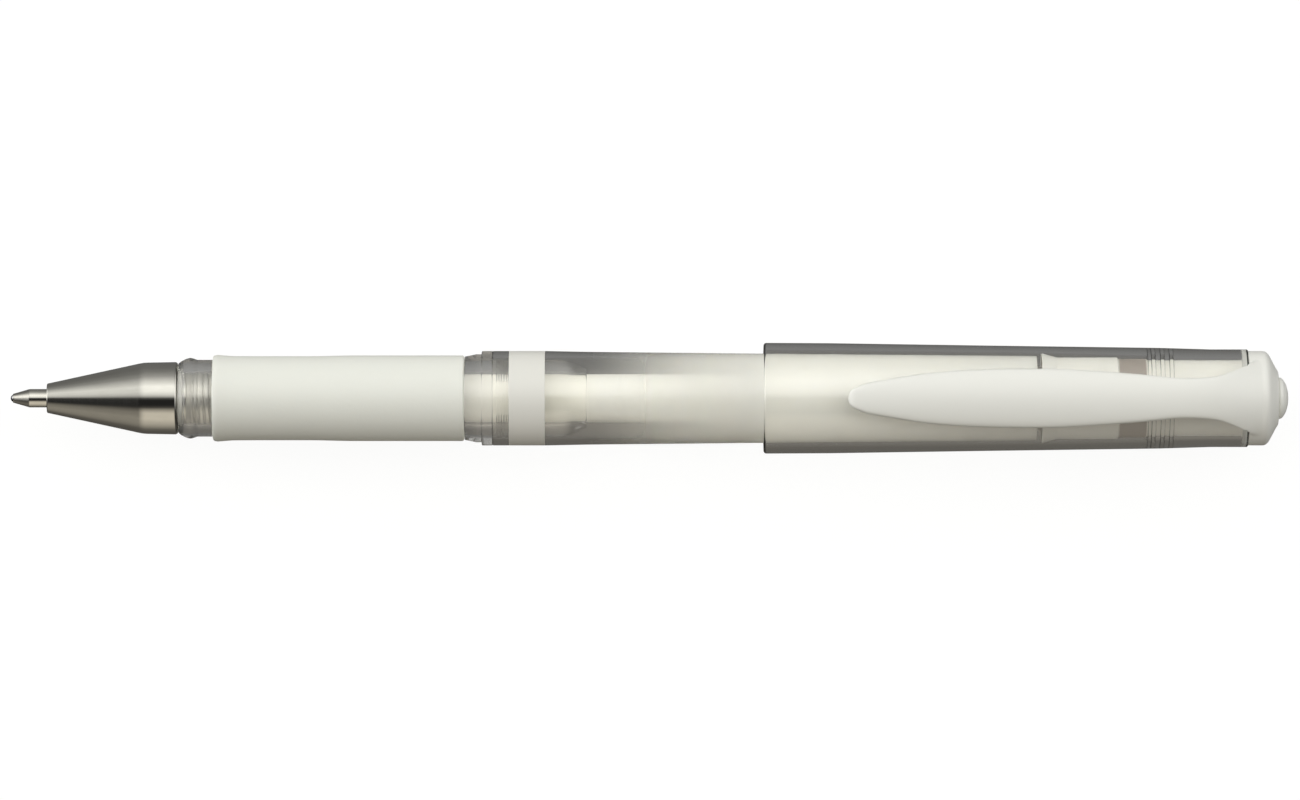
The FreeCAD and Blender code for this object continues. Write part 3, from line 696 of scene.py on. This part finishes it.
def make_camera():
    """Looks straight down at the pen, with +Y up in the picture."""
    low, high = CAD_BOX
    framed, lens, sensor = 162.5 * MM, 300.0, 36.0
    data = bpy.data.cameras.new("camera")
    data.lens, data.sensor_width = lens, sensor
    data.clip_start, data.clip_end = 0.01, 20
    camera = bpy.data.objects.new("camera", data)
    middle = (low[0] + high[0]) / 2
    aim = (0.06 * MM, -0.22 * MM)  # off the pen's middle, as in the photo
    camera.location = (middle + aim[0], aim[1], framed * lens / sensor)
    scene.collection.objects.link(camera)
    scene.camera = camera


# What the studio sends to the pen. Each ramp goes round the pen's axis, from straight down
# (-180) over the side at -Y, overhead (0) and the side at +Y: (degrees, radiance).
KEY_RAMP = [(-6, 0.0), (0, 0.1), (5, 0.6), (11, 1.05), (22, 1.45), (38, 1.6), (58, 0.98),
            (75, 0.5), (95, 0.28), (115, 0.2), (140, 0.17), (180, 0.1)]
FILL_RAMP = [(-180, 0.1), (-140, 0.09), (-120, 0.17), (-95, 0.55), (-72, 0.85), (-50, 0.82),
             (-41, 0.55), (-30, 0.06), (-22, 0.0)]
KEY_COLOUR = (1.0, 1.0, 0.975)
FILL_COLOUR = (1.0, 0.93, 0.8)
WINDOW_COLOUR = (1.0, 0.998, 0.99)
REAR_WINDOW, FRONT_WINDOW = 1.4, 2.25  # radiance beyond the pen's +X and -X ends
WINDOW_TURN = 38  # the windows' middle, in the ramps' degrees
AMBIENT = 0.025
PAPER_COLOUR = (1, 1, 0.995, 1)
PAPER_GLOW = 0.93  # so that the paper looks as white as in the photo


def make_world():
    """A large soft key on the +Y side, a short warm fill on the -Y side with a dark gap
    between them, and soft windows beyond both ends of the pen. Past the floor's edge the
    same pale paper is seen."""
    world = bpy.data.worlds.new("studio")
    world.use_nodes = True
    scene.world = world
    tree = world.node_tree
    place = tree.nodes.new("ShaderNodeTexCoord").outputs["Generated"]
    split = tree.nodes.new("ShaderNodeSeparateXYZ")
    tree.links.new(place, split.inputs[0])

    def math_node(operation, *values):
        made = tree.nodes.new("ShaderNodeMath")
        made.operation = operation
        for socket, value in zip(made.inputs, values):
            if isinstance(value, bpy.types.NodeSocket):
                tree.links.new(value, socket)
            else:
                socket.default_value = value
        return made.outputs[0]

    def step(value, low, high, to_low=0.0, to_high=1.0):
        made = tree.nodes.new("ShaderNodeMapRange")
        made.interpolation_type = "SMOOTHSTEP"
        tree.links.new(value, made.inputs["Value"])
        for socket, number in zip(list(made.inputs)[1:5], (low, high, to_low, to_high)):
            socket.default_value = number
        return made.outputs[0]

    turn = math_node("ARCTAN2", split.outputs["Y"], split.outputs["Z"])
    share = math_node("ADD", math_node("DIVIDE", turn, 2 * math.pi), 0.5)
    reach = math_node("ABSOLUTE", split.outputs["X"])

    def ramp(stops, colour, strength):
        made = tree.nodes.new("ShaderNodeValToRGB")
        made.color_ramp.interpolation = "LINEAR"
        peak = max(level for _, level in stops)
        elements = made.color_ramp.elements
        while len(elements) < len(stops):
            elements.new(0.5)
        for element, (angle, level) in zip(elements, stops):
            element.position = angle / 360 + 0.5
            element.color = (*[c * level / peak for c in colour], 1)
        tree.links.new(share, made.inputs[0])
        back = tree.nodes.new("ShaderNodeBackground")
        tree.links.new(made.outputs[0], back.inputs["Color"])
        tree.links.new(math_node("MULTIPLY", strength, peak), back.inputs["Strength"])
        return back.outputs[0]

    key = ramp(KEY_RAMP, KEY_COLOUR, step(reach, 0.1, 0.6, 1.0, 0.6))
    fill = ramp(FILL_RAMP, FILL_COLOUR, step(reach, 0.1, 0.62, 1.0, 0.0))
    rear = step(split.outputs["X"], 0.45, 0.8, 0.0, REAR_WINDOW)
    forward = math_node("MULTIPLY", split.outputs["X"], -1.0)
    front = step(forward, 0.45, 0.8, 0.0, FRONT_WINDOW)
    off_side = math_node("ABSOLUTE", math_node("SUBTRACT", turn, math.radians(WINDOW_TURN)))
    side = step(off_side, math.radians(25), math.radians(99), 1.0, 0.0)
    window = math_node("MULTIPLY", math_node("ADD", rear, front), side)
    ends = tree.nodes["Background"]
    ends.inputs["Color"].default_value = (*WINDOW_COLOUR, 1)
    tree.links.new(math_node("ADD", window, AMBIENT), ends.inputs["Strength"])
    lit = ends.outputs[0]
    for other in (key, fill):
        total = tree.nodes.new("ShaderNodeAddShader")
        tree.links.new(lit, total.inputs[0])
        tree.links.new(other, total.inputs[1])
        lit = total.outputs[0]
    paper = tree.nodes.new("ShaderNodeBackground")
    paper.inputs["Color"].default_value = PAPER_COLOUR
    seen = tree.nodes.new("ShaderNodeMixShader")
    path = tree.nodes.new("ShaderNodeLightPath")
    tree.links.new(path.outputs["Is Camera Ray"], seen.inputs["Fac"])
    tree.links.new(lit, seen.inputs[1])
    tree.links.new(paper.outputs[0], seen.inputs[2])
    tree.links.new(seen.outputs[0], tree.nodes["World Output"].inputs["Surface"])


def make_floor():
    """A sheet of pale paper just under the pen. Only the camera and shadows meet it, so that
    the pen's looks come from the world."""
    low, high = CAD_BOX
    half_size, gap = 6.0, 0.02 * MM
    mesh = bmesh.new()
    bmesh.ops.create_grid(mesh, x_segments=1, y_segments=1, size=half_size)
    floor = finished("floor", mesh)
    floor.location = ((low[0] + high[0]) / 2, 0, low[2] - gap)
    pale = Surface("floor_paper", Roughness=0.9)
    pale.colours(pale.grain((40, 40, 40)), (0.09, 0.09, 0.088), (0.087, 0.087, 0.085))
    pale.shader.inputs["Emission Color"].default_value = PAPER_COLOUR
    pale.shader.inputs["Emission Strength"].default_value = PAPER_GLOW
    floor.data.materials.append(pale.material)
    floor.visible_glossy = False
    floor.visible_transmission = False
    floor.visible_diffuse = False


make_camera()
make_world()
make_floor()
scene.view_settings.view_transform = "Standard"

make_refill()
make_nose()
make_front_section()
make_grip()
make_barrel()
make_cap()
make_crown_and_clip()
finish_cad_nodes()
